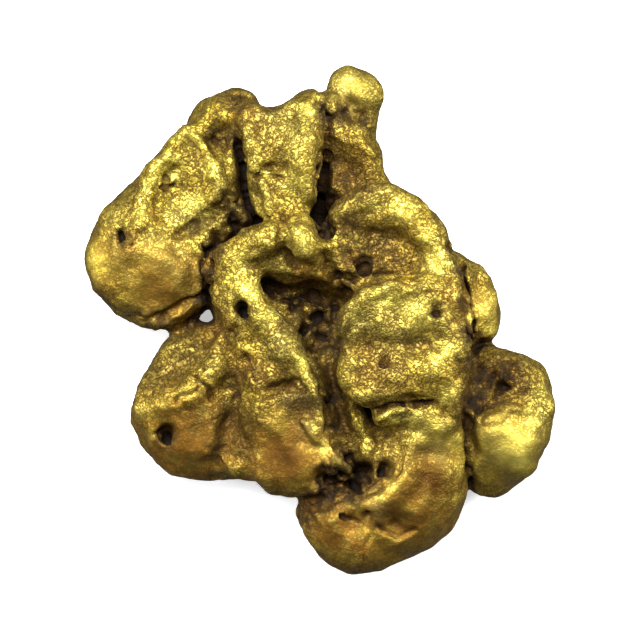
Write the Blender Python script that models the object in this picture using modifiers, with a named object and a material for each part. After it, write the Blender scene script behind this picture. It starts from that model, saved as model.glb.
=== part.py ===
"""A gold nugget: one solid lump of native metal, folded into lobes, ridges and hollows.

It lies on its back with +Z up, on flats that a stream has worn on its underside. The origin
is on the surface that it rests on, under the middle of its bounding box. The lump is shaped
in millimetres and scaled to metres at the end.

Places across the lump are (u, v) positions on a plan of it drawn at PLAN_SCALE, with v
downwards. Heights and radii are in millimetres.
"""

import bmesh
import bpy
import numpy as np
from mathutils import Matrix, Vector, noise

LENGTH = 25.5  # along Y, from the end of the south lobe to the knob
PLAN_LENGTH = 511  # the same length on the plan
PLAN_SCALE = PLAN_LENGTH / LENGTH
PLAN_MIDDLE = 320
METRES = 0.001

VOXEL = 0.16  # the grid on which the lobes are fused
TRIANGLES = 9600
FLOOR = 2.2  # height that no hollow passes, from above or from below
WORN = 0.18  # height of the cut that leaves the worn flats
DENTS = [(3.0, 0.22), (1.3, 0.12), (0.6, 0.05)]  # spacing and height of the uneven dents
STRAY, STRAY_SPACING = 0.35, 1.6  # how far a crevice wanders from its run, and how often
SWELLING = 0.8  # share by which a crevice widens and narrows on its way
FACING = 3.0  # how soon a carved hollow fades out on the flanks of the lump
ROUNDED, SETTLED = 8, 2  # times that the lump is softened once fused, and once carved
ROUGHNESS = 0.36
GOLD = (0.83, 0.58, 0.14, 1.0)

# Flat lobes: outline, bottom, top, radius of the rolled rim, and rise of the top to the
# east and to the north.
LOBES = {
    "west": (
        [(215, 98), (238, 90), (256, 108), (243, 140), (240, 165), (244, 200), (236, 235), (218, 262),
         (210, 300), (190, 326), (150, 336), (114, 317), (91, 291), (83, 262), (89, 235), (104, 209),
         (133, 186), (160, 163), (177, 141), (193, 111)],
        0.1, 4.9, 1.5, 0.02, 0.0,
    ),
    "slab": (
        [(234, 121), (252, 112), (276, 117), (298, 102), (316, 97), (323, 130), (320, 175), (314, 208),
         (300, 224), (280, 228), (262, 220), (250, 195), (243, 165), (237, 140)],
        2.2, 6.9, 0.9, 0.05, 0.0,
    ),
    "northwest_web": (
        [(214, 112), (262, 114), (277, 150), (266, 200), (243, 226), (226, 205), (226, 160)],
        1.0, 5.5, 0.8, 0.06, 0.0,
    ),
    "north_floor": (
        [(240, 120), (300, 112), (321, 102), (345, 108), (366, 147), (390, 187), (417, 215), (440, 270),
         (330, 285), (245, 270), (225, 220), (232, 150)],
        0.5, 4.2, 1.2, 0.0, 0.0,
    ),
    "knob_web": (
        [(308, 106), (344, 102), (364, 128), (380, 190), (345, 208), (320, 200)],
        1.0, 5.2, 1.1, -0.04, 0.0,
    ),
    "northeast": (
        [(338, 222), (348, 205), (370, 195), (392, 196), (415, 206), (434, 222), (448, 248), (455, 300),
         (436, 300), (424, 262), (398, 243), (362, 236)],
        1.8, 6.9, 0.8, 0.0, 0.0,
    ),
    "northeast_hollow": (
        [(328, 222), (400, 215), (445, 260), (455, 310), (400, 310), (345, 292), (322, 262)],
        0.6, 6.5, 0.8, 0.05, 0.03,
    ),
    "east": (
        [(347, 338), (350, 317), (364, 302), (390, 290), (420, 284), (448, 285), (463, 325), (467, 365),
         (462, 402), (432, 410), (392, 408), (360, 402), (347, 388), (359, 374), (361, 362), (346, 352)],
        1.2, 7.4, 1.9, 0.02, 0.05,
    ),
    "column": (
        [(424, 240), (444, 246), (456, 275), (464, 320), (466, 360), (460, 404), (440, 411), (425, 400),
         (425, 300), (414, 262)],
        0.8, 7.1, 1.2, 0.0, 0.0,
    ),
    "crescent_web": (
        [(446, 258), (466, 264), (475, 300), (476, 345), (452, 352), (442, 300)],
        1.0, 4.9, 0.8, 0.0, 0.0,
    ),
    "crescent": (
        [(440, 255), (468, 262), (482, 273), (494, 292), (502, 314), (500, 333), (492, 347), (468, 354),
         (448, 345)],
        0.5, 4.5, 1.8, -0.1, 0.0,
    ),
    "southeast": (
        [(468, 357), (512, 355), (537, 362), (549, 378), (552, 402), (549, 440), (540, 469), (521, 491),
         (498, 504), (475, 497), (464, 470), (461, 430), (459, 385)],
        0.0, 5.0, 2.3, 0.05, 0.0,
    ),
    "southeast_web": (
        [(446, 376), (484, 378), (500, 402), (490, 448), (466, 482), (448, 470)],
        0.8, 5.2, 1.1, -0.12, 0.0,
    ),
    "south": (
        [(372, 418), (420, 412), (455, 416), (466, 445), (468, 482), (460, 519), (445, 542), (419, 559),
         (391, 573), (360, 578), (331, 571), (310, 555), (298, 532), (298, 508), (322, 494), (345, 482),
         (364, 455)],
        0.0, 6.1, 2.6, 0.06, 0.03,
    ),
    "leg": (
        [(228, 262), (256, 285), (270, 318), (300, 352), (314, 385), (321, 430), (338, 462), (350, 480),
         (326, 496), (304, 500), (280, 501), (260, 492), (247, 468), (236, 425), (233, 385), (225, 345),
         (213, 310), (211, 278)],
        0.7, 6.3, 1.3, 0.10, 0.05,
    ),
    "southwest": (
        [(173, 338), (215, 328), (245, 360), (252, 400), (250, 440), (262, 482), (215, 484), (180, 483),
         (162, 475), (148, 460), (137, 443), (130, 418), (135, 395), (146, 371), (156, 352)],
        0.0, 5.1, 2.2, 0.08, 0.05,
    ),
    "arch_web": (
        [(230, 256), (262, 244), (300, 240), (345, 262), (352, 292), (334, 290), (300, 286), (268, 281),
         (245, 290), (226, 286)],
        2.4, 6.3, 0.7, 0.0, 0.08,
    ),
    "southwest_web": (
        [(212, 340), (240, 350), (262, 400), (262, 480), (226, 480), (214, 420)],
        0.8, 5.2, 1.1, 0.04, 0.0,
    ),
    "arch_shelf": (
        [(258, 264), (300, 252), (348, 260), (358, 282), (338, 297), (314, 289), (290, 292), (268, 284)],
        1.0, 5.7, 0.7, 0.0, 0.05,
    ),
    "channel_floor": (
        [(322, 352), (352, 348), (360, 400), (376, 430), (378, 460), (348, 462), (322, 430)],
        1.0, 5.6, 0.9, 0.0, 0.0,
    ),
    "heart": (
        [(212, 285), (260, 262), (330, 262), (420, 280), (462, 340), (465, 440), (430, 500), (330, 500),
         (260, 480), (225, 420), (222, 350)],
        0.6, 4.5, 1.4, 0.0, 0.0,
    ),
}

# Rolled ridges and bulbs: runs of (u, v, height, radius).
ROLLS = {
    "west_rim": [(211, 122, 3.9, 0.8), (187, 153, 4.2, 0.8), (163, 179, 4.2, 0.9), (151, 203, 4.2, 1.0),
                 (146, 225, 3.9, 1.3)],
    "west_ridge": [(226, 112, 4.1, 0.8), (203, 140, 4.4, 0.7), (214, 162, 4.6, 0.7), (222, 185, 4.7, 0.7),
                   (212, 208, 4.6, 0.7)],
    "west_bulb": [(140, 238, 3.4, 2.1), (136, 255, 3.3, 2.4), (148, 272, 3.2, 2.4), (166, 282, 3.1, 2.2)],
    "west_column": [(200, 232, 4.4, 0.8), (204, 255, 4.5, 0.6), (201, 280, 4.2, 0.6), (196, 298, 3.6, 0.6)],
    "north_tip": [(238, 108, 3.4, 0.8), (255, 122, 4.2, 0.7), (280, 126, 4.8, 0.8), (299, 116, 5.0, 0.7),
                  (311, 109, 5.0, 0.6)],
    "slab_ridge": [(307, 115, 5.3, 0.7), (302, 132, 6.2, 0.9), (297, 155, 6.5, 1.0), (300, 185, 6.3, 0.9),
                   (295, 205, 6.0, 0.9)],
    "slab_west_edge": [(250, 126, 5.9, 0.7), (254, 150, 6.1, 0.7), (263, 185, 6.2, 0.8),
                       (271, 210, 6.0, 0.8)],
    "knob": [(348, 91, 3.3, 1.2), (359, 96, 3.4, 1.2), (357, 110, 3.2, 1.2), (353, 130, 3.2, 1.2),
             (350, 160, 2.9, 1.2)],
    "knob_ridge": [(330, 132, 4.2, 0.6), (350, 138, 4.5, 0.6), (361, 152, 4.2, 0.6), (369, 171, 3.9, 0.6),
                   (379, 197, 4.0, 0.8)],
    "northeast_rim": [(344, 222, 5.6, 0.8), (358, 208, 6.1, 0.8), (380, 205, 6.4, 0.8), (400, 215, 6.5, 0.9),
                      (419, 234, 6.5, 0.9), (436, 258, 6.4, 0.9), (443, 287, 6.5, 0.9), (448, 320, 6.8, 0.9),
                      (449, 350, 6.8, 0.9), (447, 380, 6.6, 0.9), (441, 404, 6.2, 0.9)],
    "east_rim": [(352, 345, 6.9, 0.8), (356, 320, 7.1, 0.8), (368, 304, 7.3, 0.8), (392, 295, 7.5, 0.8),
                 (418, 292, 7.5, 0.7)],
    "east_hump": [(385, 325, 6.2, 1.9), (425, 312, 6.3, 1.8)],
    "east_lower_hump": [(380, 375, 6.1, 1.9), (420, 378, 6.1, 1.9)],
    "east_lower_rim": [(354, 368, 6.9, 0.9), (354, 386, 6.9, 0.9), (374, 396, 7.0, 0.8),
                       (400, 398, 7.0, 0.7)],
    "fold": [(386, 419, 6.0, 0.8), (403, 415, 6.1, 0.9), (422, 418, 6.1, 0.9), (440, 426, 5.9, 0.9)],
    "south_ridge": [(326, 520, 4.0, 0.8), (345, 509, 4.9, 0.7), (366, 502, 5.3, 0.7), (388, 495, 5.6, 0.7),
                    (404, 478, 5.8, 0.8), (412, 450, 5.9, 0.8)],
    "south_rim": [(438, 442, 5.0, 1.2), (438, 470, 4.6, 1.2), (428, 502, 4.0, 1.3), (410, 522, 3.5, 1.3)],
    "southeast_bulb": [(498, 430, 4.2, 1.7), (506, 446, 3.8, 2.0), (510, 462, 3.1, 1.6)],
    "southeast_rim": [(526, 390, 3.5, 1.2), (528, 415, 3.6, 1.2), (525, 443, 3.4, 1.2)],
    "crescent_rim": [(465, 286, 3.2, 1.1), (476, 304, 3.2, 1.1), (478, 324, 3.0, 1.1)],
    "arch": [(219, 288, 5.0, 0.7), (221, 271, 5.6, 0.8), (235, 258, 6.0, 0.8), (255, 250, 6.3, 0.8),
             (278, 243, 6.5, 0.9), (299, 241, 6.7, 1.0), (320, 254, 6.2, 0.8), (345, 260, 5.4, 0.6)],
    "arch_leg": [(236, 268, 5.9, 0.8), (246, 292, 6.0, 0.8), (258, 318, 6.0, 0.9), (280, 345, 6.0, 0.9),
                 (298, 372, 5.9, 0.9), (308, 400, 5.8, 1.0), (310, 438, 5.3, 1.1), (320, 464, 4.9, 0.9),
                 (338, 477, 4.4, 0.6)],
    "leg_belly": [(268, 385, 4.9, 1.7), (275, 420, 4.7, 1.8), (286, 452, 4.1, 1.9)],
    "southwest_ridge": [(151, 411, 3.7, 0.9), (170, 402, 4.3, 0.9), (195, 390, 4.9, 0.8),
                        (214, 370, 5.0, 0.8), (222, 348, 4.9, 0.7)],
    "southwest_belly": [(178, 437, 3.0, 1.9), (205, 441, 3.1, 1.9), (232, 444, 3.1, 1.8)],
    "west_bridge": [(196, 272, 2.6, 1.3), (230, 268, 3.0, 1.3)],
    "under_northeast": [(352, 190, 1.7, 1.6), (392, 232, 1.6, 1.6), (418, 276, 1.9, 1.6)],
    "under_leg": [(262, 330, 1.9, 1.5), (280, 380, 1.8, 1.6), (282, 440, 2.0, 1.7)],
}

# Crevices between the lobes: (width, depth, places along the run).
CREVICES = [
    (0.45, 1.5, [(239, 146), (243, 170), (245, 195), (250, 214)]),
    (0.50, 0.3, [(323, 108), (326, 135), (324, 160)]),
    (0.55, 1.3, [(322, 162), (320, 185), (319, 208), (324, 234)]),
    (0.45, 0.7, [(266, 289), (287, 299), (308, 299), (333, 305)]),
    (0.80, 0.5, [(290, 306), (312, 318), (326, 340)]),
    (0.35, 0.7, [(213, 242), (210, 270), (207, 298)]),
    (0.60, 0.6, [(338, 305), (337, 340), (328, 370), (330, 400), (340, 430), (353, 455)]),
    (0.80, 0.25, [(222, 345), (238, 372), (236, 400), (234, 430), (218, 472)]),
    (0.70, 1.1, [(322, 480), (345, 487), (366, 478)]),
    (0.35, 0.45, [(372, 409), (400, 405), (430, 408)]),
    (0.45, 0.7, [(459, 262), (465, 290), (468, 330), (466, 350)]),
    (0.45, 0.5, [(465, 420), (468, 450), (466, 488)]),
    (0.40, 0.7, [(470, 352), (493, 349)]),
    (0.60, 0.3, [(342, 286), (372, 286), (410, 281)]),
    (0.40, 0.5, [(212, 222), (192, 232), (176, 240)]),
    (0.30, 0.5, [(163, 189), (178, 177)]),
    (0.35, 0.4, [(256, 180), (268, 175), (282, 178)]),
    (0.30, 0.4, [(272, 396), (295, 385), (306, 392)]),
]

# Pits and dents in the upper side: (u, v, radius, depth).
PITS = [
    (121, 237, 0.40, 0.6), (243, 313, 0.50, 1.0), (235, 333, 0.35, 0.5), (167, 438, 0.60, 1.1),
    (383, 472, 0.50, 0.9), (384, 365, 0.35, 0.5), (434, 315, 0.45, 0.7), (318, 319, 0.50, 0.7),
    (303, 333, 0.45, 0.7), (328, 400, 0.50, 0.7), (502, 385, 0.55, 0.8), (478, 410, 0.50, 0.8),
    (465, 381, 0.45, 0.7), (362, 271, 0.45, 0.9), (451, 248, 0.40, 0.7), (235, 100, 0.60, 0.4),
    (225, 136, 0.90, 0.5), (260, 124, 1.20, 0.4), (347, 176, 1.50, 0.4), (345, 116, 0.90, 0.5),
    (412, 348, 1.40, 0.3), (395, 322, 1.00, 0.3), (350, 524, 1.10, 0.5), (395, 530, 1.10, 0.4),
    (302, 416, 1.00, 0.3), (385, 248, 1.60, 0.4), (172, 202, 1.80, 0.5), (175, 372, 1.50, 0.5),
    (488, 384, 2.10, 0.8), (246, 362, 0.30, 0.4), (256, 379, 0.30, 0.4),
    (215, 150, 0.80, 0.4), (425, 460, 0.90, 0.3), (320, 345, 1.50, 0.5),
]

# The same for the underside.
UNDER_CREVICES = [
    (1.3, 1.0, [(232, 100), (238, 160), (226, 215), (232, 265), (216, 300), (205, 330)]),
    (1.1, 0.8, [(232, 265), (285, 246), (330, 266), (352, 300)]),
    (1.2, 1.0, [(215, 335), (238, 380), (230, 430), (246, 485)]),
    (1.0, 0.8, [(330, 300), (324, 360), (338, 420), (322, 470), (305, 500)]),
    (1.3, 1.1, [(470, 262), (453, 310), (468, 350), (455, 400), (462, 450), (466, 495)]),
    (0.9, 0.7, [(336, 420), (380, 432), (420, 412), (455, 400)]),
    (0.9, 0.7, [(318, 95), (326, 140), (372, 150)]),
]
UNDER_PITS = [
    (196, 326, 1.6, 2.0), (180, 335, 1.6, 2.2), (150, 260, 1.5, 0.6), (190, 180, 1.1, 0.6),
    (130, 300, 0.6, 0.5), (285, 190, 1.4, 0.7), (270, 140, 0.6, 0.6), (390, 350, 1.8, 0.8),
    (420, 330, 0.6, 0.6), (365, 380, 0.5, 0.6), (190, 420, 1.4, 0.5), (160, 400, 0.5, 0.5),
    (380, 500, 1.5, 0.6), (340, 540, 0.5, 0.5), (505, 430, 1.3, 0.5), (520, 390, 0.5, 0.5),
    (480, 310, 0.7, 0.5), (350, 220, 0.6, 0.6), (300, 420, 0.7, 0.5), (350, 100, 0.6, 0.3),
]


def at(u, v):
    """A place on the plan as x and y in millimetres."""
    return (u - PLAN_MIDDLE) / PLAN_SCALE, (PLAN_MIDDLE - v) / PLAN_SCALE


def clear_scene():
    for obj in list(bpy.data.objects):
        bpy.data.objects.remove(obj)


def curve_mesh(curve):
    """The mesh of a filled or bevelled curve."""
    obj = bpy.data.objects.new("form", curve)
    bpy.context.scene.collection.objects.link(obj)
    graph = bpy.context.evaluated_depsgraph_get()
    mesh = bpy.data.meshes.new_from_object(obj.evaluated_get(graph))
    bpy.data.objects.remove(obj)
    return mesh


def lobe_mesh(outline, bottom, top, rim, rise_east, rise_north):
    """A flat lobe with a rolled rim, its top leaning a little."""
    places = [at(u, v) for u, v in outline]
    middle = np.mean(places, axis=0)
    curve = bpy.data.curves.new("lobe", "CURVE")
    curve.dimensions = "2D"
    curve.fill_mode = "BOTH"
    curve.resolution_u = 3
    curve.extrude = (top - bottom) / 2 - rim
    curve.bevel_depth = rim
    curve.bevel_resolution = 4
    curve.offset = -rim
    spline = curve.splines.new("BEZIER")
    spline.bezier_points.add(len(places) - 1)
    spline.use_cyclic_u = True
    for point, (x, y) in zip(spline.bezier_points, places):
        point.co = (x, y, 0.0)
        point.handle_left_type = point.handle_right_type = "AUTO"
    mesh = curve_mesh(curve)
    lean = Matrix.Identity(4)
    lean[2][0], lean[2][1] = rise_east, rise_north
    centre = Matrix.Translation((middle[0], middle[1], 0.0))
    lift = Matrix.Translation((0.0, 0.0, (top + bottom) / 2))
    mesh.transform(lift @ centre @ lean @ centre.inverted())
    return mesh


def roll_mesh(points):
    """A roll of metal along a run of points, tapering from one radius to the next."""
    curve = bpy.data.curves.new("roll", "CURVE")
    curve.dimensions = "3D"
    curve.resolution_u = 4
    curve.bevel_depth = 1.0
    curve.bevel_resolution = 4
    curve.use_fill_caps = True
    spline = curve.splines.new("BEZIER")
    spline.bezier_points.add(len(points) - 1)
    for point, (u, v, height, radius) in zip(spline.bezier_points, points):
        point.co = (*at(u, v), height)
        point.radius = radius
        point.handle_left_type = point.handle_right_type = "AUTO"
    return curve_mesh(curve)


def ball_mesh(centre, radius):
    ball = bmesh.new()
    place = Matrix.Translation(centre) @ Matrix.Scale(radius, 4)
    bmesh.ops.create_icosphere(ball, subdivisions=3, radius=1.0, matrix=place)
    mesh = bpy.data.meshes.new("ball")
    ball.to_mesh(mesh)
    ball.free()
    return mesh


def apply_modifiers(obj):
    graph = bpy.context.evaluated_depsgraph_get()
    graph.update()
    mesh = bpy.data.meshes.new_from_object(obj.evaluated_get(graph))
    obj.modifiers.clear()
    obj.data = mesh


def soften(obj, times):
    """Rounds the edges of a lump, more with each time."""
    smooth = obj.modifiers.new("soften", "SMOOTH")
    smooth.factor = 0.5
    smooth.iterations = times
    apply_modifiers(obj)


def fused(forms):
    """One closed lump made of overlapping forms."""
    cage = bmesh.new()
    for mesh in forms:
        cage.from_mesh(mesh)
    mesh = bpy.data.meshes.new("nugget")
    cage.to_mesh(mesh)
    cage.free()
    obj = bpy.data.objects.new("nugget", mesh)
    bpy.context.scene.collection.objects.link(obj)
    fuse = obj.modifiers.new("fuse", "REMESH")
    fuse.mode = "VOXEL"
    fuse.voxel_size = VOXEL
    soften(obj, ROUNDED)
    return obj


def distance_to_run(places, run):
    """How far each place is, in plan, from a run of straight pieces."""
    nearest = np.full(len(places), np.inf)
    corners = np.array([at(u, v) for u, v in run])
    for start, end in zip(corners, corners[1:]):
        along = end - start
        share = np.clip((places - start) @ along / (along @ along), 0.0, 1.0)
        nearest = np.minimum(nearest, np.linalg.norm(places - start - share[:, None] * along, axis=1))
    return nearest


def bowl(distance, width):
    """1 in the middle of a hollow, falling smoothly to 0 at its edge."""
    return np.clip(1.0 - (distance / width) ** 2, 0.0, 1.0) ** 2


def uneven(places, spacing):
    """Smooth noise between about -1 and 1 at each place."""
    return np.array([noise.noise(Vector(place) / spacing) for place in places])


def read_vertices(mesh):
    count = len(mesh.vertices)
    places, normals = np.empty(count * 3), np.empty(count * 3)
    mesh.vertices.foreach_get("co", places)
    mesh.vertices.foreach_get("normal", normals)
    return places.reshape(-1, 3), normals.reshape(-1, 3)


def carve(mesh, side, crevices, pits):
    """Cuts crevices, pits and dents into the upper side (1) or the underside (-1)."""
    places, normals = read_vertices(mesh)
    facing = np.clip(side * normals[:, 2] * FACING, 0.0, 1.0)
    strayed = places[:, :2] + STRAY * np.stack(
        [uneven(places, STRAY_SPACING), uneven(places + STRAY_SPACING * 9, STRAY_SPACING)], axis=1)
    swelling = 1.0 + SWELLING * uneven(places, 2 * STRAY_SPACING)
    sink = np.zeros(len(places))
    for width, depth, run in crevices:
        sink = np.maximum(sink, depth * bowl(distance_to_run(strayed, run), width * swelling))
    for u, v, radius, depth in pits:
        distance = np.linalg.norm(places[:, :2] - at(u, v), axis=1)
        sink = np.maximum(sink, depth * bowl(distance, radius))
    height = side * (places[:, 2] - FLOOR)
    lowered = np.maximum(height - sink * facing, np.minimum(height, 0.0))
    places[:, 2] = FLOOR + side * lowered
    mesh.vertices.foreach_set("co", places.ravel())
    mesh.update()


def roughen(mesh):
    """Beats the surface with small uneven dents of three sizes."""
    places, normals = read_vertices(mesh)
    swell = np.zeros(len(places))
    for spacing, height in DENTS:
        swell += height * uneven(places, spacing)
    places += normals * swell[:, None]
    mesh.vertices.foreach_set("co", places.ravel())
    mesh.update()


def thin_out(obj):
    """Leaves only the triangles that the shape needs."""
    thin = obj.modifiers.new("thin", "DECIMATE")
    thin.ratio = TRIANGLES / (2 * len(obj.data.polygons))
    thin.use_collapse_triangulate = True
    apply_modifiers(obj)


def drop_crumbs(lump):
    """Removes every loose piece but the largest."""
    waiting = set(lump.verts)
    pieces = []
    while waiting:
        piece, edge_of_piece = set(), {waiting.pop()}
        while edge_of_piece:
            piece |= edge_of_piece
            around = {edge.other_vert(vert) for vert in edge_of_piece for edge in vert.link_edges}
            edge_of_piece = around - piece
        waiting -= piece
        pieces.append(piece)
    pieces.sort(key=len)
    for piece in pieces[:-1]:
        bmesh.ops.delete(lump, geom=list(piece), context="VERTS")


def wear_flats(mesh):
    """Cuts the underside off at WORN, where the stream bed has rubbed the lowest lobes flat."""
    lump = bmesh.new()
    lump.from_mesh(mesh)
    everything = lump.verts[:] + lump.edges[:] + lump.faces[:]
    bmesh.ops.bisect_plane(
        lump, geom=everything, plane_co=(0.0, 0.0, WORN), plane_no=(0.0, 0.0, -1.0), clear_outer=True)
    open_edges = [edge for edge in lump.edges if edge.is_boundary]
    bmesh.ops.holes_fill(lump, edges=open_edges, sides=0)
    drop_crumbs(lump)
    bmesh.ops.triangulate(lump, faces=lump.faces[:])
    bmesh.ops.recalc_face_normals(lump, faces=lump.faces[:])
    lump.to_mesh(mesh)
    lump.free()


def rest_on_origin(mesh):
    """Puts the middle of the underside's level at the origin and scales the lump to metres."""
    places, _ = read_vertices(mesh)
    low, high = places.min(axis=0), places.max(axis=0)
    middle = (low + high) / 2
    mesh.transform(Matrix.Translation((-middle[0], -middle[1], -low[2])))
    mesh.transform(Matrix.Scale(METRES, 4))


def gold():
    material = bpy.data.materials.new("native gold")
    material.use_nodes = True
    shader = material.node_tree.nodes["Principled BSDF"]
    shader.inputs["Base Color"].default_value = GOLD
    shader.inputs["Metallic"].default_value = 1.0
    shader.inputs["Roughness"].default_value = ROUGHNESS
    return material


def make_nugget():
    forms = [lobe_mesh(*lobe) for lobe in LOBES.values()]
    for points in ROLLS.values():
        forms.append(roll_mesh(points))
        for u, v, height, radius in (points[0], points[-1]):
            forms.append(ball_mesh((*at(u, v), height), radius))
    lump = fused(forms)
    carve(lump.data, 1, CREVICES, PITS)
    carve(lump.data, -1, UNDER_CREVICES, UNDER_PITS)
    soften(lump, SETTLED)
    roughen(lump.data)
    thin_out(lump)
    wear_flats(lump.data)
    rest_on_origin(lump.data)
    lump.data.materials.append(gold())
    lump.data.shade_smooth()
    return lump


clear_scene()
collection = bpy.data.collections.new("gold_nugget")
bpy.context.scene.collection.children.link(collection)
nugget = make_nugget()
bpy.context.scene.collection.objects.unlink(nugget)
collection.objects.link(nugget)
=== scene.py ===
"""The gold nugget as it looks: its fine surface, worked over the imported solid, on a white sheet.

The surface is worked in millimetres, and so are the widths, heights, depths and spacings below
unless a comment says metres. Places across the nugget are (u, v) positions on the plan that it
was drawn from, PLAN_LENGTH long from the knob to the south lobe, with v downwards.
"""

import bpy
import numpy as np
from mathutils import Matrix, Vector, noise
from mathutils.bvhtree import BVHTree


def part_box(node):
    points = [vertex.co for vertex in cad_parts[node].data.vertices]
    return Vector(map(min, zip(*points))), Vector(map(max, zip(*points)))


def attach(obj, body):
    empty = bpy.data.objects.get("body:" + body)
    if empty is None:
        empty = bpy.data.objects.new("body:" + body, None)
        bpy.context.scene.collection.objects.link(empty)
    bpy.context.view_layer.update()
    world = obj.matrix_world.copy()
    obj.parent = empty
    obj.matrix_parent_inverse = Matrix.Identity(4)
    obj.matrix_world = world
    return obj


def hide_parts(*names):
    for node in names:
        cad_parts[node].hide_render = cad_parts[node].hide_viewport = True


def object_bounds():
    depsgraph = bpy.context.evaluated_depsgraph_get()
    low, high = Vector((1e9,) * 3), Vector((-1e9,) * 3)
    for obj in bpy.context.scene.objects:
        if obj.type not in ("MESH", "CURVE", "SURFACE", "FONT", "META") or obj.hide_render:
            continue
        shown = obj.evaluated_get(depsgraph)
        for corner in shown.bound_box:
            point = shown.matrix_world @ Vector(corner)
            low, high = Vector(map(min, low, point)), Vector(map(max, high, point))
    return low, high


MM = 0.001
PLAN_LENGTH = 511
PLAN_MIDDLE = 320
PICTURE = 640  # width of the view on the plan
VOXEL = 0.105  # size of the faces that the surface starts with
EVENED, SETTLED = 5, 1  # times that the surface is softened once remeshed, and once worked
TRIANGLES = 190000  # of the finished surface
STRAY, STRAY_SPACING = 0.22, 0.8  # how far the edges of drawn shapes wander, and over what spacing
CREASED = -0.05  # no edge is raised where the surface is cut deeper than this

# Thin creases: (reach to each side, depth, places along the run).
CREASES = [
    (0.26, 0.45, [(238, 146), (243, 170), (246, 195), (251, 215), (258, 228)]),
    (0.35, 0.45, [(321, 168), (319, 188), (319, 210), (324, 232)]),
    (0.30, 0.22, [(266, 290), (276, 297), (288, 301), (300, 298), (314, 300), (333, 304)]),
    (0.16, 0.25, [(162, 187), (166, 184), (168, 190), (173, 186)]),
    (0.14, 0.20, [(168, 178), (170, 186)]),
    (0.34, 0.28, [(316, 108), (330, 116), (348, 114), (366, 121)]),
    (0.24, 0.22, [(366, 128), (376, 146), (379, 160)]),
    (0.30, 0.30, [(126, 319), (150, 320), (178, 308), (202, 292)]),
    (0.20, 0.35, [(205, 246), (212, 262), (209, 285), (206, 302)]),
    (0.18, 0.15, [(253, 181), (266, 175), (284, 178)]),
    (0.20, 0.28, [(281, 218), (287, 226)]),
    (0.50, 0.30, [(280, 226), (283, 246), (293, 264)]),
    (0.60, 0.35, [(326, 262), (334, 276), (352, 282)]),
    (0.18, 0.16, [(272, 396), (292, 386), (306, 391)]),
    (0.16, 0.30, [(373, 408), (396, 403), (416, 406), (430, 404)]),
    (0.18, 0.25, [(318, 92), (319, 106)]),
    (0.20, 0.14, [(386, 432), (402, 448), (398, 470)]),
    (0.20, 0.12, [(205, 372), (196, 392), (178, 402)]),
    (0.14, 0.22, [(243, 358), (249, 366), (256, 380)]),
    (0.22, 0.30, [(466, 424), (468, 448), (470, 470)]),
    (0.20, 0.14, [(488, 405), (506, 396), (526, 392)]),
    (0.15, 0.12, [(342, 513), (349, 519), (357, 521)]),
    (0.26, 0.11, [(366, 512), (369, 530), (363, 556)]),
    (0.30, 0.16, [(378, 528), (396, 536), (414, 530)]),
    (0.20, 0.22, [(197, 376), (207, 388), (213, 400)]),
    (0.55, 0.20, [(236, 396), (231, 420), (222, 446), (208, 466)]),
    (0.24, 0.16, [(100, 300), (118, 312), (140, 316)]),
]

# Raised edges: (reach to each side, height, places along the run).
EDGES = [
    (0.50, 0.34, [(190, 132), (170, 150), (152, 172), (143, 200), (140, 222)]),
    (0.42, 0.32, [(186, 130), (202, 144), (215, 166), (222, 186), (213, 202)]),
    (0.45, 0.26, [(300, 118), (308, 140), (303, 170), (306, 195)]),
    (0.38, 0.26, [(250, 128), (253, 150), (260, 182), (272, 212)]),
    (0.80, 0.14, [(340, 216), (358, 203), (378, 197), (404, 208), (430, 226), (446, 258)]),
    (1.10, 0.26, [(388, 218), (404, 222), (420, 236)]),
    (0.50, 0.26, [(466, 296), (470, 316)]),
    (0.42, 0.26, [(340, 335), (348, 312), (362, 297), (398, 286)]),
    (0.38, 0.26, [(450, 262), (455, 300), (462, 340), (460, 378), (452, 410)]),
    (0.90, 0.12, [(148, 412), (166, 404), (192, 390), (212, 370)]),
    (0.38, 0.26, [(290, 346), (305, 370), (316, 398), (319, 436), (330, 466), (348, 478)]),
    (0.32, 0.28, [(306, 420), (318, 440), (334, 460), (348, 471)]),
    (0.95, 0.22, [(338, 515), (360, 506), (385, 497), (404, 482)]),
    (0.30, 0.20, [(196, 262), (198, 280), (196, 300)]),
    (0.34, 0.18, [(486, 420), (508, 408), (530, 410)]),
    (0.30, 0.20, [(330, 136), (352, 140), (370, 155)]),
    (0.32, 0.20, [(378, 418), (392, 412), (408, 412)]),
    (0.30, 0.18, [(158, 325), (176, 318), (200, 302)]),
    (0.95, 0.30, [(296, 238), (305, 246)]),
]

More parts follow.
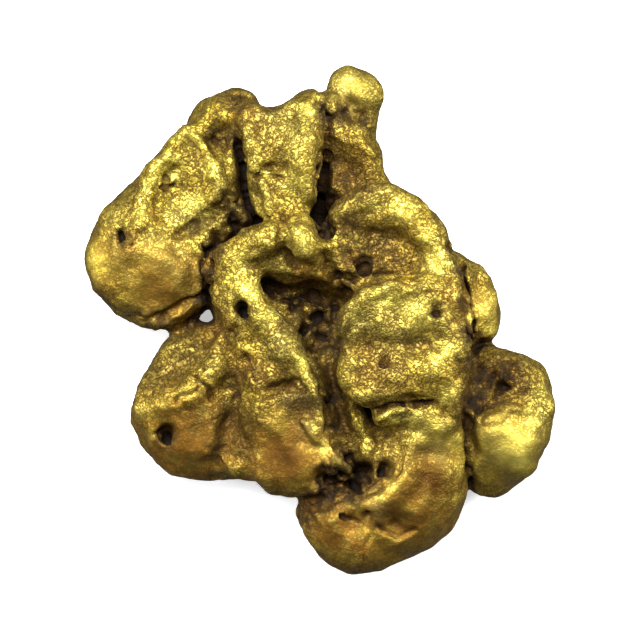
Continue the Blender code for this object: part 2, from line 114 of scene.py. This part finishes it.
# Pits and dents: (u, v, radius, depth).
PITS = [
    (121, 237, 0.26, 0.35), (131, 246, 0.20, 0.20), (243, 313, 0.34, 0.60), (235, 332, 0.24, 0.35),
    (167, 438, 0.32, 0.55), (160, 431, 0.24, 0.30), (383, 472, 0.30, 0.55), (384, 365, 0.24, 0.35),
    (434, 315, 0.34, 0.45), (441, 317, 0.26, 0.30), (318, 319, 0.35, 0.50), (303, 333, 0.32, 0.50),
    (335, 309, 0.28, 0.40), (312, 350, 0.30, 0.40), (328, 400, 0.30, 0.45), (502, 385, 0.36, 0.55),
    (478, 410, 0.34, 0.50), (465, 381, 0.30, 0.50), (490, 372, 0.24, 0.35), (362, 271, 0.42, 0.80),
    (451, 248, 0.32, 0.50), (235, 100, 0.34, 0.45), (246, 362, 0.20, 0.25), (256, 379, 0.20, 0.25),
    (222, 140, 0.30, 0.35), (212, 252, 0.22, 0.30), (330, 482, 0.50, 0.65), (355, 486, 0.46, 0.60),
    (342, 474, 0.40, 0.55), (366, 478, 0.36, 0.50), (316, 300, 0.40, 0.40), (292, 304, 0.34, 0.35),
    (322, 336, 0.36, 0.45), (326, 428, 0.30, 0.40), (316, 296, 0.34, 0.35), (270, 294, 0.30, 0.30),
    (238, 205, 0.36, 0.35), (232, 222, 0.34, 0.35), (395, 528, 0.60, 0.12),
]

# The spots of each zone: (u, v, radius on the plan, amount). First the hollows with a granular crust.
CRUST = [
    (300, 302, 20, 1.0), (318, 322, 32, 1.0), (330, 345, 22, 0.9), (322, 366, 16, 0.6),
    (330, 398, 16, 0.9), (336, 426, 14, 0.9), (345, 455, 14, 0.9), (345, 480, 26, 1.0),
    (328, 492, 20, 1.0), (366, 482, 18, 0.9), (314, 502, 18, 0.8), (306, 522, 13, 0.6),
    (495, 392, 18, 0.8), (285, 294, 12, 0.8), (470, 362, 16, 0.9), (486, 378, 28, 0.9),
    (508, 374, 24, 0.9), (474, 402, 22, 1.0), (467, 420, 12, 0.7), (524, 384, 14, 0.5),
    (213, 250, 14, 0.9), (208, 275, 12, 0.9), (204, 298, 13, 0.9), (228, 200, 16, 0.8),
    (235, 220, 18, 0.9), (250, 224, 12, 0.8), (216, 134, 13, 0.7), (231, 141, 15, 0.8),
    (234, 102, 12, 0.7), (196, 222, 20, 0.4), (328, 118, 14, 0.8), (344, 115, 15, 0.8),
    (362, 118, 12, 0.6), (330, 162, 16, 0.8), (348, 180, 22, 0.6), (334, 198, 15, 0.8),
    (366, 192, 14, 0.6), (322, 205, 12, 1.0), (325, 228, 12, 1.0), (345, 230, 14, 0.6),
    (352, 256, 18, 0.7), (372, 262, 22, 0.8), (392, 256, 20, 0.6), (345, 281, 18, 0.7),
    (362, 271, 10, 1.0), (460, 272, 9, 0.8), (462, 302, 8, 0.7), (470, 334, 13, 1.0),
    (451, 248, 10, 0.9), (434, 315, 9, 0.8), (243, 313, 11, 0.9), (235, 333, 9, 0.8),
    (167, 438, 12, 0.9), (160, 372, 28, 0.45), (190, 352, 28, 0.45), (238, 378, 14, 0.5),
    (243, 450, 14, 0.4), (160, 327, 20, 0.7), (195, 320, 14, 0.9), (136, 318, 14, 0.5),
    (121, 237, 11, 0.7), (384, 472, 12, 0.7), (404, 405, 14, 0.4), (252, 368, 12, 0.4),
    (345, 110, 9, 1.0), (322, 108, 9, 0.9), (366, 126, 9, 0.8), (224, 420, 13, 0.5),
    (214, 448, 13, 0.5), (233, 392, 12, 0.6), (238, 208, 14, 0.7), (330, 470, 16, 1.0),
    (352, 492, 14, 1.0),
]

# Lobes that are worn smooth.
SMOOTH = [
    (160, 285, 46, 1.0), (105, 262, 30, 0.8), (185, 448, 52, 0.9), (290, 455, 46, 0.9),
    (400, 525, 70, 0.9), (340, 535, 40, 0.8), (505, 450, 46, 1.0), (440, 455, 34, 0.8),
    (352, 88, 24, 0.7), (485, 310, 26, 0.6),
]

# Brown, dull gold.
BROWN = [
    (165, 290, 50, 0.8), (125, 248, 34, 0.6), (108, 290, 26, 0.5), (182, 448, 72, 1.0),
    (285, 455, 60, 1.0), (345, 535, 66, 1.0), (412, 512, 70, 0.9), (435, 450, 34, 0.5),
    (486, 388, 46, 0.6), (390, 250, 44, 0.4), (345, 165, 40, 0.7), (465, 300, 30, 0.7),
    (240, 108, 26, 0.6), (245, 370, 26, 0.6), (205, 405, 36, 0.7), (215, 330, 26, 0.6),
    (330, 420, 26, 0.6), (500, 495, 34, 0.6), (305, 272, 16, 0.8), (328, 276, 16, 0.8),
    (345, 288, 14, 0.8), (204, 262, 16, 0.8), (470, 400, 20, 0.6), (300, 400, 20, 0.6),
    (376, 366, 28, 0.4), (404, 382, 24, 0.4), (500, 372, 26, 0.8), (312, 505, 24, 1.0),
    (355, 262, 20, 0.7),
]

# Ridges and slopes with painted highlights.
HIGHLIGHT_SPOTS = [
    (165, 174, 16, 1.0), (197, 205, 16, 1.0), (115, 222, 16, 0.5), (420, 318, 18, 1.0),
    (388, 302, 16, 1.0), (406, 308, 16, 1.0), (430, 430, 16, 1.0), (446, 350, 12, 1.0),
    (520, 460, 14, 1.0), (472, 304, 12, 1.0), (262, 175, 12, 0.7), (485, 308, 14, 0.5),
    (430, 258, 16, 0.8), (305, 150, 18, 0.5), (300, 180, 18, 0.6), (290, 130, 14, 0.4),
    (310, 112, 12, 0.9), (195, 140, 11, 0.8), (170, 158, 10, 0.8), (154, 180, 10, 0.8),
    (213, 168, 12, 0.8), (220, 188, 10, 0.7), (188, 214, 24, 0.9), (140, 216, 12, 0.7),
    (152, 242, 16, 0.4), (238, 263, 16, 0.5), (232, 282, 12, 0.5), (251, 292, 14, 1.0),
    (268, 318, 14, 0.6), (286, 342, 14, 0.5), (302, 364, 12, 0.9), (300, 240, 16, 0.7),
    (345, 258, 10, 0.6), (400, 214, 18, 1.0), (374, 205, 12, 0.8), (425, 236, 14, 0.9),
    (432, 264, 18, 1.0), (450, 310, 10, 0.9), (456, 350, 10, 0.9), (450, 392, 12, 0.9),
    (356, 316, 10, 0.8), (376, 300, 10, 0.8), (402, 302, 18, 0.8), (420, 328, 14, 0.7),
    (436, 362, 10, 0.7), (388, 418, 12, 0.8), (412, 420, 14, 0.7), (454, 440, 10, 0.7),
    (458, 472, 10, 0.6), (500, 424, 16, 0.5), (516, 448, 20, 0.6), (532, 418, 12, 0.8),
    (540, 396, 12, 0.6), (490, 302, 12, 0.4), (492, 330, 10, 0.6), (142, 411, 10, 0.9),
    (164, 405, 9, 0.9), (186, 395, 9, 0.9), (206, 380, 10, 0.9), (338, 460, 9, 1.0), (349, 470, 8, 1.0),
    (312, 429, 9, 1.0), (323, 446, 9, 1.0), (352, 504, 10, 0.9), (374, 497, 10, 0.8),
    (394, 486, 10, 0.7), (170, 205, 12, 0.5), (262, 205, 14, 0.4),
]

# Patches with a grey sheen.
GREY = [
    (438, 454, 12, 0.8), (298, 404, 22, 0.8), (308, 422, 16, 0.6), (280, 345, 13, 0.7),
    (410, 346, 15, 0.7), (194, 226, 16, 0.7), (178, 214, 11, 0.6), (356, 320, 12, 0.5),
    (392, 362, 26, 0.5), (508, 482, 15, 0.5), (262, 380, 12, 0.5), (378, 512, 16, 0.5),
    (250, 190, 12, 0.4), (352, 225, 12, 0.5), (380, 238, 16, 0.5),
]

# Painted shade: dark, dull brown patches.
SHADE_SPOTS = [
    (432, 478, 28, 1.0), (400, 520, 36, 0.76), (345, 535, 30, 0.50), (318, 502, 18, 0.80),
    (285, 455, 32, 1.0), (300, 412, 18, 0.50), (270, 382, 22, 0.75), (240, 430, 30, 0.74),
    (190, 440, 32, 0.48), (165, 290, 38, 0.56), (114, 290, 24, 0.32), (128, 250, 16, 0.36),
    (380, 370, 30, 0.45), (282, 332, 10, 0.35), (352, 222, 14, 0.50), (372, 238, 14, 0.50),
    (461, 285, 7, 0.80), (463, 310, 7, 0.80), (467, 332, 9, 0.90), (348, 262, 16, 0.40),
    (362, 508, 14, 0.40), (380, 524, 14, 0.90), (222, 448, 12, 0.85), (336, 418, 10, 0.40),
]

ZONES = {
    "crust": CRUST,
    "brown": BROWN,
    "smooth": SMOOTH,
    "painted_highlight": HIGHLIGHT_SPOTS,
    "grey": GREY,
    "painted_shade": SHADE_SPOTS,
}
UPPER_ZONES = {"crust", "painted_highlight", "grey"}  # those that fade out on the flanks
SPREAD = 1.4  # how far out a spot fades to nothing, as a share of its radius

# How unevenly wide the drawn forms are: (share, spacing, offset of the noise).
UNEVEN_CREASES = (0.5, 1.1, 7.0)
UNEVEN_EDGES = (0.25, 2.5, 17.0)
UNEVEN_PITS = (0.9, 0.38, 11.0)

# Dents over the whole nugget, and lumps in its crust: (height, spacing, offset of the noise).
SWELLS = (0.20, 1.9, 1.0)
WAVES = (0.09, 0.95, 3.0)
RIPPLES = (0.05, 0.45, 5.0)
LUMPS = (0.16, 0.7, 23.0)
UNDERNEATH = 0.4  # strength of the dents on the underside
WORN_AWAY = 0.8  # share of the smaller dents that a smooth lobe lacks

# Hollows and grains round scattered points: (height, spacing, distance that is level).
DISHES = (0.12, 1.3, 0.5)
DIMPLES = (0.08, 0.75, 0.5)
BEADS = (0.05, 0.40, 0.45)
CRYSTALS = (0.42, 0.50, 0.45)

# What counts as facing up: (steepness of the change, amount on an upright face).
UPPER = (2.5, 0.3)
TOP = (1.6, 0.2)

# How far a vertex stands proud: (times that the surface is softened, height that counts in full).
RIDGES = (40, 0.16)
GRAINS = (6, 0.05)

# Shades of the skin: (spacing in metres, detail, lowest and highest level of the noise).
PATCHES = (0.0030, 3.0, 0.38, 0.62)
MOTTLE = (0.0011, 3.0, 0.40, 0.62)
SPECKS = (0.0005, 4.0, 0.36, 0.56)
CRINKLES = (0.00055, 2.0, 0.0, 1.0)

# Hairline grooves: (spacing in metres, width as a share of the noise's range).
COARSE_VEINS = (0.00048, 0.090)
FINE_VEINS = (0.00029, 0.080)
VEIN_DEPTH, CRINKLE_DEPTH = 0.00002, 0.00004  # in metres

# How an amount becomes a look: (from, to, strength at from, strength at to).
BRIGHT_RIDGE = (0.55, 0.95, 0.0, 1.0)
DARK_VALLEY = (0.15, 0.50, 0.75, 0.0)
CLOSED_IN = (0.22, 0.60, 0.0, 1.0)
DEEP = (0.45, 0.80, 0.0, 1.0)
BETWEEN_GRAINS = (0.10, 0.42, 0.6, 0.0)
HAIRLINE = (0.0, 1.0, 0.92, 0.0)
SKIN_IF_SMOOTH = (0.0, 1.0, 1.0, 0.35)
HAIRLINE_IF_HIGHLIGHTED = (0.0, 1.0, 1.0, 0.85)
METALLIC_BY_DIRT_AND_SHADE = (0.0, 1.0, 1.0, 0.75)
ROUGHNESS_BY_DULLNESS = (0.0, 1.0, 0.42, 0.75)

# Strengths of single looks.
RIDGE_SHINE = 0.5
# Painted shade on the flanks, and the tarnish of the crust.
FLANK_SHADE, CRUST_TARNISH = 0.85, 0.9
CRUST_DIRT = 0.95
LEAST_BROWN, LEAST_GREY = 0.50, 0.40  # where the mottle is at its lowest
SPECK_DULLNESS, BROWN_DULLNESS = 0.3, 0.85

# The colours of the gold.
# Painted highlight, on ridges and on the highlight spots.
HIGHLIGHT_GOLD = (0.90, 0.76, 0.14, 1.0)
LEMON = (0.50, 0.365, 0.050, 1.0)
OLIVE = (0.34, 0.265, 0.055, 1.0)
BROWN_GOLD = (0.30, 0.145, 0.021, 1.0)
# Painted shade in sheltered places, valleys and on the flanks, and tarnish in the crust.
SHADE_AND_TARNISH = (0.12, 0.060, 0.014, 1.0)
GREY_GOLD = (0.15, 0.14, 0.055, 1.0)
# Painted shade over the dark patches.
SHADE_BROWN = (0.062, 0.027, 0.006, 1.0)
# Painted shade in the hairline grooves and between small grains.
GROOVE_SHADE = (0.050, 0.025, 0.0055, 1.0)
# Painted shade in the deepest places, and dirt in specks over the crust.
DIRT_AND_SHADE = (0.010, 0.005, 0.0018, 1.0)

# The studio, in metres and watts. Lamps: (name, place, size, power).
SHEET_WIDTH = 0.8
SHEET_WHITE = (0.92, 0.92, 0.92, 1.0)
SHEET_GLOW = 0.5
SKY = (0.94, 0.97, 1.0, 1.0)
SKY_STRENGTH = 0.22
LAMPS = [
    ("north window", (-0.03, 0.10, 0.19), 0.15, 1.5),
    ("east fill", (0.20, 0.06, 0.10), 0.06, 0.7),
    ("west fill", (-0.20, 0.02, 0.10), 0.06, 0.4),
]
LENS = 400.0  # long, so that the view is almost without perspective


def shader_value(node, **values):
    """Sets a node's input sockets by name, with spaces for underscores."""
    for name, value in values.items():
        node.inputs[name.replace("_", " ")].default_value = value


class Surface:
    """The vertices of the fine surface, in millimetres, with what is worked out for each."""

    def __init__(self, obj, scale):
        self.obj = obj
        self.scale = scale
        self.amounts = {}
        self.read()

    def read(self):
        """Takes the places and normals of the mesh's vertices."""
        mesh = self.obj.data
        count = len(mesh.vertices)
        places, normals = np.empty(count * 3), np.empty(count * 3)
        mesh.vertices.foreach_get("co", places)
        mesh.vertices.foreach_get("normal", normals)
        self.places, self.normals = places.reshape(-1, 3), normals.reshape(-1, 3)

    def write(self):
        """Puts the places back into the mesh."""
        self.obj.data.vertices.foreach_set("co", self.places.ravel())
        self.obj.data.update()
        self.read()

    def push(self, heights):
        """Moves each vertex along its normal."""
        self.places += self.normals * heights[:, None]
        self.write()

    def at(self, u, v):
        """The place across the nugget of a position on the plan."""
        return np.array([(u - PLAN_MIDDLE) / self.scale, (PLAN_MIDDLE - v) / self.scale])

    def noise(self, spacing, offset=0.0):
        """Smooth noise that swings round 0."""
        return np.array([noise.noise(Vector(place)) for place in self.places / spacing + offset])

    def cells(self, spacing):
        """How far each vertex is from the nearest of many scattered points."""
        return np.array([noise.voronoi(Vector(place))[0][0] for place in self.places / spacing])

    def uneven(self, share, spacing, offset):
        """A factor that varies round 1 by up to the share."""
        return 1.0 + share * self.noise(spacing, offset)

    def facing_up(self, steepness, upright):
        """1 where the surface faces up, 0 where it faces down."""
        return np.clip(self.normals[:, 2] * steepness + upright, 0.0, 1.0)

    def upper(self):
        return self.facing_up(*UPPER)

    def zone(self, spots):
        """How much each vertex is in any of the spots, seen in plan."""
        amount = np.zeros(len(self.places))
        for u, v, radius, most in spots:
            away = np.linalg.norm(self.strayed - self.at(u, v), axis=1) * self.scale
            amount = np.maximum(amount, most * bowl(away, SPREAD * radius))
        return amount

    def stray(self):
        """Keeps plan places that wander a little, so that drawn shapes get uneven edges."""
        wander = np.stack([self.noise(STRAY_SPACING), self.noise(STRAY_SPACING, 31.0)], axis=1)
        self.strayed = self.places[:, :2] + STRAY * wander


def bowl(distance, width):
    """1 in the middle, falling smoothly to 0 at the width."""
    return np.clip(1.0 - (distance / width) ** 2, 0.0, 1.0) ** 2


def distance_to_run(surface, run):
    """How far each vertex is, seen in plan, from a run of straight stretches."""
    corners = np.array([surface.at(u, v) for u, v in run])
    nearest = np.full(len(surface.strayed), np.inf)
    for start, end in zip(corners, corners[1:]):
        along = end - start
        share = np.clip((surface.strayed - start) @ along / (along @ along), 0.0, 1.0)
        away = np.linalg.norm(surface.strayed - start - share[:, None] * along, axis=1)
        nearest = np.minimum(nearest, away)
    return nearest


def apply_modifiers(obj):
    graph = bpy.context.evaluated_depsgraph_get()
    graph.update()
    mesh = bpy.data.meshes.new_from_object(obj.evaluated_get(graph))
    obj.modifiers.clear()
    obj.data = mesh


def soften(obj, times):
    smooth = obj.modifiers.new("soften", "SMOOTH")
    smooth.factor = 0.5
    smooth.iterations = times
    apply_modifiers(obj)


def fine_copy(node):
    """The solid's mesh again with small even faces, in millimetres."""
    obj = bpy.data.objects.new("nugget_surface", node.data.copy())
    bpy.context.scene.collection.objects.link(obj)
    obj.data.transform(Matrix.Scale(1 / MM, 4))
    remesh = obj.modifiers.new("even", "REMESH")
    remesh.mode = "VOXEL"
    remesh.voxel_size = VOXEL
    apply_modifiers(obj)
    soften(obj, EVENED)
    return obj


def work_forms(surface):
    """Creases, edges, pits and dents that show in the photograph."""
    crease_width = surface.uneven(*UNEVEN_CREASES)
    edge_width = surface.uneven(*UNEVEN_EDGES)
    pit_width = surface.uneven(*UNEVEN_PITS)
    cut = np.zeros(len(surface.places))
    for width, depth, run in CREASES:
        away = distance_to_run(surface, run)
        cut = np.minimum(cut, -depth * bowl(away, width * crease_width))
    for u, v, radius, depth in PITS:
        away = np.linalg.norm(surface.strayed - surface.at(u, v), axis=1)
        cut = np.minimum(cut, -depth * bowl(away, radius * pit_width))
    rise = np.zeros(len(surface.places))
    for width, height, run in EDGES:
        away = distance_to_run(surface, run)
        rise = np.maximum(rise, height * bowl(away, width * edge_width))
    surface.push((cut + np.where(cut < CREASED, 0.0, rise)) * surface.upper())


def dents(surface, most, spacing, offset):
    """Gentle rises and hollows that follow no pattern."""
    return most * surface.noise(spacing, offset)


def hollows(surface, most, spacing, level, power=1):
    """Sunk at scattered points and raised between them."""
    return most * (surface.cells(spacing) ** power - level ** power)


def grains(surface, most, spacing, level):
    """Raised at scattered points and sunk between them."""
    return most * (level - surface.cells(spacing))


def beat(surface):
    """Dents the whole surface at several sizes, less where it is smooth, and crusts the hollows."""
    crust = surface.zone(CRUST) * surface.upper()
    everywhere = UNDERNEATH + (1.0 - UNDERNEATH) * surface.upper()
    rough = (1.0 - WORN_AWAY * surface.zone(SMOOTH)) * everywhere
    height = dents(surface, *SWELLS) * everywhere
    height += dents(surface, *WAVES) * rough
    height += dents(surface, *RIPPLES) * rough
    height += hollows(surface, *DISHES) * everywhere
    height += hollows(surface, *DIMPLES, power=2) * rough
    height += grains(surface, *BEADS) * rough
    height += grains(surface, *CRYSTALS) * crust
    height += dents(surface, *LUMPS) * crust
    surface.push(height)


def thin_out(obj):
    """Leaves the faces that the surface needs most."""
    thin = obj.modifiers.new("thin", "DECIMATE")
    thin.ratio = TRIANGLES / (2 * len(obj.data.polygons))
    thin.use_collapse_triangulate = True
    apply_modifiers(obj)


def convexity(surface, times, most):
    """How far each vertex stands proud of the softened surface, as a share of most: 0.5 is level."""
    before, normals = surface.places.copy(), surface.normals.copy()
    softer = surface.obj.copy()
    softer.data = surface.obj.data.copy()
    bpy.context.scene.collection.objects.link(softer)
    soften(softer, times)
    after = np.empty(before.size)
    softer.data.vertices.foreach_get("co", after)
    bpy.data.objects.remove(softer)
    proud = np.einsum("ij,ij->i", before - after.reshape(-1, 3), normals)
    return 0.5 + 0.5 * proud / most


def shelter(surface, rays=14, reach=4.0, spread=0.9, clear=0.03):
    """How closed in each vertex is, from 0 in the open to 1 in a deep crevice.

    Rays spread round its normal from straight out to nearly level, from just clear of the skin.
    """
    mesh = surface.obj.data
    tree = BVHTree.FromPolygons([v.co for v in mesh.vertices], [p.vertices for p in mesh.polygons])
    golden_angle = np.pi * (3.0 - 5.0 ** 0.5)
    ways = []
    for index in range(rays):
        lift = 1.0 - (index + 0.5) / rays * spread
        flat = (1.0 - lift * lift) ** 0.5
        ways.append((flat * np.cos(index * golden_angle), flat * np.sin(index * golden_angle), lift))
    closed = np.zeros(len(mesh.vertices))
    for index, (place, normal) in enumerate(zip(surface.places, surface.normals)):
        up = Vector(normal)
        across = up.orthogonal().normalized()
        along = up.cross(across)
        start = Vector(place) + up * clear
        for x, y, z in ways:
            hit = tree.ray_cast(start, across * x + along * y + up * z, reach)
            if hit[0] is not None:
                closed[index] += 1.0 - hit[3] / reach
    return closed / rays


def keep_amounts(surface):
    """Writes what was worked out for each vertex as mesh attributes, for the material to read."""
    for name, values in surface.amounts.items():
        layer = surface.obj.data.attributes.new(name, "FLOAT", "POINT")
        layer.data.foreach_set("value", np.clip(values, 0.0, 1.0).astype(np.float32))


def work_out_amounts(surface):
    """How much each vertex is in each zone, and how proud, sheltered or upright it is."""
    surface.stray()
    for name, spots in ZONES.items():
        surface.amounts[name] = surface.zone(spots)
        if name in UPPER_ZONES:
            surface.amounts[name] *= surface.upper()
    surface.amounts["ridge"] = convexity(surface, *RIDGES)
    surface.amounts["grain"] = convexity(surface, *GRAINS)
    surface.amounts["shelter"] = shelter(surface)
    # For painted shade on the flanks: high where the surface faces sideways or down.
    surface.amounts["side"] = 1.0 - surface.facing_up(*TOP)


def make_nugget(node, scale):
    obj = fine_copy(node)
    surface = Surface(obj, scale)
    surface.stray()
    work_forms(surface)
    soften(obj, SETTLED)
    surface.read()
    beat(surface)
    surface.places[:, 2] = np.maximum(surface.places[:, 2], 0.0)
    surface.write()
    thin_out(obj)
    surface.read()
    work_out_amounts(surface)
    keep_amounts(surface)
    obj.data.transform(Matrix.Scale(MM, 4))
    obj.data.materials.clear()
    obj.data.materials.append(gold())
    obj.data.shade_smooth()
    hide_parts("nugget")
    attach(obj, "root")


class Nodes:
    """Short calls that add a material's nodes and link them."""

    def __init__(self, material):
        material.use_nodes = True
        self.tree = material.node_tree
        self.shader = self.tree.nodes["Principled BSDF"]

    def link(self, source, target):
        self.tree.links.new(source, target)

    def attribute(self, name):
        node = self.tree.nodes.new("ShaderNodeAttribute")
        node.attribute_name = name
        return node.outputs["Fac"]

    def amount(self, name, limits):
        """An attribute of the surface, turned into a strength."""
        return self.stretch(self.attribute(name), *limits)

    def noise(self, spacing, detail, low, high):
        """Noise with that spacing in metres, stretched from low..high to 0..1."""
        place = self.tree.nodes.new("ShaderNodeTexCoord")
        node = self.tree.nodes.new("ShaderNodeTexNoise")
        shader_value(node, Scale=1.0 / spacing, Detail=detail, Roughness=0.6)
        self.link(place.outputs["Object"], node.inputs["Vector"])
        return self.stretch(node.outputs["Fac"], low, high, 0.0, 1.0)

    def stretch(self, source, low, high, to_low, to_high):
        node = self.tree.nodes.new("ShaderNodeMapRange")
        shader_value(node, From_Min=low, From_Max=high, To_Min=to_low, To_Max=to_high)
        self.link(source, node.inputs["Value"])
        return node.outputs["Result"]

    def veins(self, spacing, width):
        """Wandering fine grooves: 0 in the middle of each, 1 away from them."""
        level = self.noise(spacing, 2.0, 0.0, 1.0)
        away = self.math("ABSOLUTE", self.math("SUBTRACT", level, 0.5, clamp=False), 0.0)
        return self.stretch(away, 0.0, width, 0.0, 1.0)

    def math(self, kind, first, second, clamp=True):
        node = self.tree.nodes.new("ShaderNodeMath")
        node.operation = kind
        node.use_clamp = clamp
        for socket, value in zip(node.inputs, (first, second)):
            if isinstance(value, float):
                socket.default_value = value
            else:
                self.link(value, socket)
        return node.outputs["Value"]

    def mix(self, amount, first, second):
        node = self.tree.nodes.new("ShaderNodeMix")
        node.data_type = "RGBA"
        self.link(amount, node.inputs["Factor"])
        for socket, value in ((node.inputs[6], first), (node.inputs[7], second)):
            if isinstance(value, tuple):
                socket.default_value = value
            else:
                self.link(value, socket)
        return node.outputs[2]

    def bump(self, height, distance, before=None):
        node = self.tree.nodes.new("ShaderNodeBump")
        shader_value(node, Distance=distance, Strength=1.0)
        self.link(height, node.inputs["Height"])
        if before is not None:
            self.link(before, node.inputs["Normal"])
        return node.outputs["Normal"]


def clean_gold(nodes, mottle, brown):
    """The colour by patches and zones: lemon and olive, painted highlights on ridges and spots, brown,
    grey, and patches of painted shade.
    """
    colour = nodes.mix(nodes.noise(*PATCHES), LEMON, OLIVE)
    # Painted highlight: lighter gold on ridges and on the highlight spots.
    ridge = nodes.math("MULTIPLY", nodes.amount("ridge", BRIGHT_RIDGE), RIDGE_SHINE)
    colour = nodes.mix(nodes.math("MAXIMUM", ridge, nodes.attribute("painted_highlight")), colour, HIGHLIGHT_GOLD)
    colour = nodes.mix(brown, colour, BROWN_GOLD)
    grey = nodes.math("MULTIPLY", nodes.attribute("grey"), nodes.math("ADD", mottle, LEAST_GREY))
    colour = nodes.mix(grey, colour, GREY_GOLD)
    # Painted shade over the dark patches.
    return nodes.mix(nodes.attribute("painted_shade"), colour, SHADE_BROWN)


def shade_and_tarnish_amount(nodes):
    """High in sheltered places, valleys and crust, and on the flanks: painted shade, except for the
    tarnish of the crust.
    """
    hollow = nodes.math("MAXIMUM", nodes.amount("shelter", CLOSED_IN), nodes.amount("ridge", DARK_VALLEY))
    flank = nodes.math("MULTIPLY", nodes.attribute("side"), FLANK_SHADE)
    crusted = nodes.math("MULTIPLY", nodes.attribute("crust"), CRUST_TARNISH)
    return nodes.math("MAXIMUM", hollow, nodes.math("MAXIMUM", flank, crusted))


def groove_amount(nodes, hairlines, rough_skin):
    """Painted shade, high in the hairline grooves, unless the skin is smooth, and between small grains.
    """
    grooves = nodes.math("MULTIPLY", nodes.stretch(hairlines, *HAIRLINE), rough_skin)
    grooves = nodes.math("MULTIPLY", grooves, nodes.amount("painted_highlight", HAIRLINE_IF_HIGHLIGHTED))
    return nodes.math("MAXIMUM", grooves, nodes.amount("grain", BETWEEN_GRAINS))


def dirt_and_shade_amount(nodes, specks):
    """High in the deepest places, as painted shade, and in specks of dirt over the crust."""
    specked = nodes.math("MULTIPLY", nodes.attribute("crust"), specks)
    specked = nodes.math("MULTIPLY", specked, CRUST_DIRT)
    return nodes.math("MAXIMUM", nodes.amount("shelter", DEEP), specked)


def gold():
    """Native gold: bright on the ridges as painted highlight, brown in sheltered places and dark in the
    crevices as painted shade.
    """
    material = bpy.data.materials.new("native gold")
    nodes = Nodes(material)
    mottle, specks = nodes.noise(*MOTTLE), nodes.noise(*SPECKS)
    hairlines = nodes.math("MINIMUM", nodes.veins(*COARSE_VEINS), nodes.veins(*FINE_VEINS))
    rough_skin = nodes.amount("smooth", SKIN_IF_SMOOTH)
    brown = nodes.math("MULTIPLY", nodes.attribute("brown"), nodes.math("ADD", mottle, LEAST_BROWN))
    grooves = groove_amount(nodes, hairlines, rough_skin)
    dirt_and_shade = dirt_and_shade_amount(nodes, specks)
    colour = clean_gold(nodes, mottle, brown)
    # Painted shade in sheltered places, valleys, grooves, the deepest places and on the flanks, with
    # tarnish and dirt in the crust.
    for amount, darker in ((shade_and_tarnish_amount(nodes), SHADE_AND_TARNISH), (grooves, GROOVE_SHADE), (dirt_and_shade, DIRT_AND_SHADE)):
        colour = nodes.mix(amount, colour, darker)
    dull = nodes.math("MULTIPLY", specks, SPECK_DULLNESS)
    dull = nodes.math("ADD", dull, nodes.math("MAXIMUM", dirt_and_shade, grooves))
    dull = nodes.math("MAXIMUM", dull, nodes.math("MULTIPLY", brown, BROWN_DULLNESS))
    veined = nodes.bump(nodes.math("MULTIPLY", hairlines, rough_skin), VEIN_DEPTH)
    crinkled = nodes.bump(nodes.noise(*CRINKLES), CRINKLE_DEPTH, veined)
    nodes.link(colour, nodes.shader.inputs["Base Color"])
    nodes.link(nodes.stretch(dirt_and_shade, *METALLIC_BY_DIRT_AND_SHADE), nodes.shader.inputs["Metallic"])
    nodes.link(nodes.stretch(dull, *ROUGHNESS_BY_DULLNESS), nodes.shader.inputs["Roughness"])
    nodes.link(crinkled, nodes.shader.inputs["Normal"])
    return material


def white_sheet():
    """Matt white, and glowing a little, so that shadows on it stay pale."""
    material = bpy.data.materials.new("lit white sheet")
    material.use_nodes = True
    shader = material.node_tree.nodes["Principled BSDF"]
    shader_value(shader, Base_Color=SHEET_WHITE, Roughness=0.9)
    shader_value(shader, Emission_Color=(1.0, 1.0, 1.0, 1.0), Emission_Strength=SHEET_GLOW)
    return material


def make_floor():
    bpy.ops.mesh.primitive_plane_add(size=SHEET_WIDTH)
    floor = bpy.context.object
    floor.name = "floor"
    floor.data.materials.append(white_sheet())
    floor.visible_glossy = False


def add_lamp(name, place, size, power):
    """A square lamp that faces the nugget."""
    lamp = bpy.data.lights.new(name, "AREA")
    lamp.size = size
    lamp.energy = power
    light = bpy.data.objects.new(name, lamp)
    light.location = place
    light.rotation_euler = Vector(place).to_track_quat("Z", "Y").to_euler()
    bpy.context.scene.collection.objects.link(light)


def light_scene():
    world = bpy.data.worlds.new("studio")
    world.use_nodes = True
    shader_value(world.node_tree.nodes["Background"], Color=SKY, Strength=SKY_STRENGTH)
    bpy.context.scene.world = world
    for name, place, size, power in LAMPS:
        add_lamp(name, place, size, power)
    bpy.context.scene.view_settings.view_transform = "Standard"


def make_camera(scale):
    """Looks straight down, with the plan's middle in the middle of the picture."""
    low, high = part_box("nugget")
    lens = bpy.data.cameras.new("camera")
    lens.lens = LENS
    camera = bpy.data.objects.new("camera", lens)
    width = PICTURE / scale * MM
    away = width * lens.lens / lens.sensor_width
    camera.location = (0.0, 0.0, (low.z + high.z) / 2 + away)
    bpy.context.scene.collection.objects.link(camera)
    bpy.context.scene.camera = camera


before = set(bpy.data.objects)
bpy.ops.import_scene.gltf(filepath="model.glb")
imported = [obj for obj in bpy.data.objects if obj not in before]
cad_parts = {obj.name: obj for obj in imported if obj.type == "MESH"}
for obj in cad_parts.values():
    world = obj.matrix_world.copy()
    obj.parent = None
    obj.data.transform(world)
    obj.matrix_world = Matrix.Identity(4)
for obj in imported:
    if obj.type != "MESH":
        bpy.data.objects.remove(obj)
solid_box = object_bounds()
plan_scale = PLAN_LENGTH / ((solid_box[1].y - solid_box[0].y) / MM)
make_nugget(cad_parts["nugget"], plan_scale)
make_floor()
light_scene()
make_camera(plan_scale)
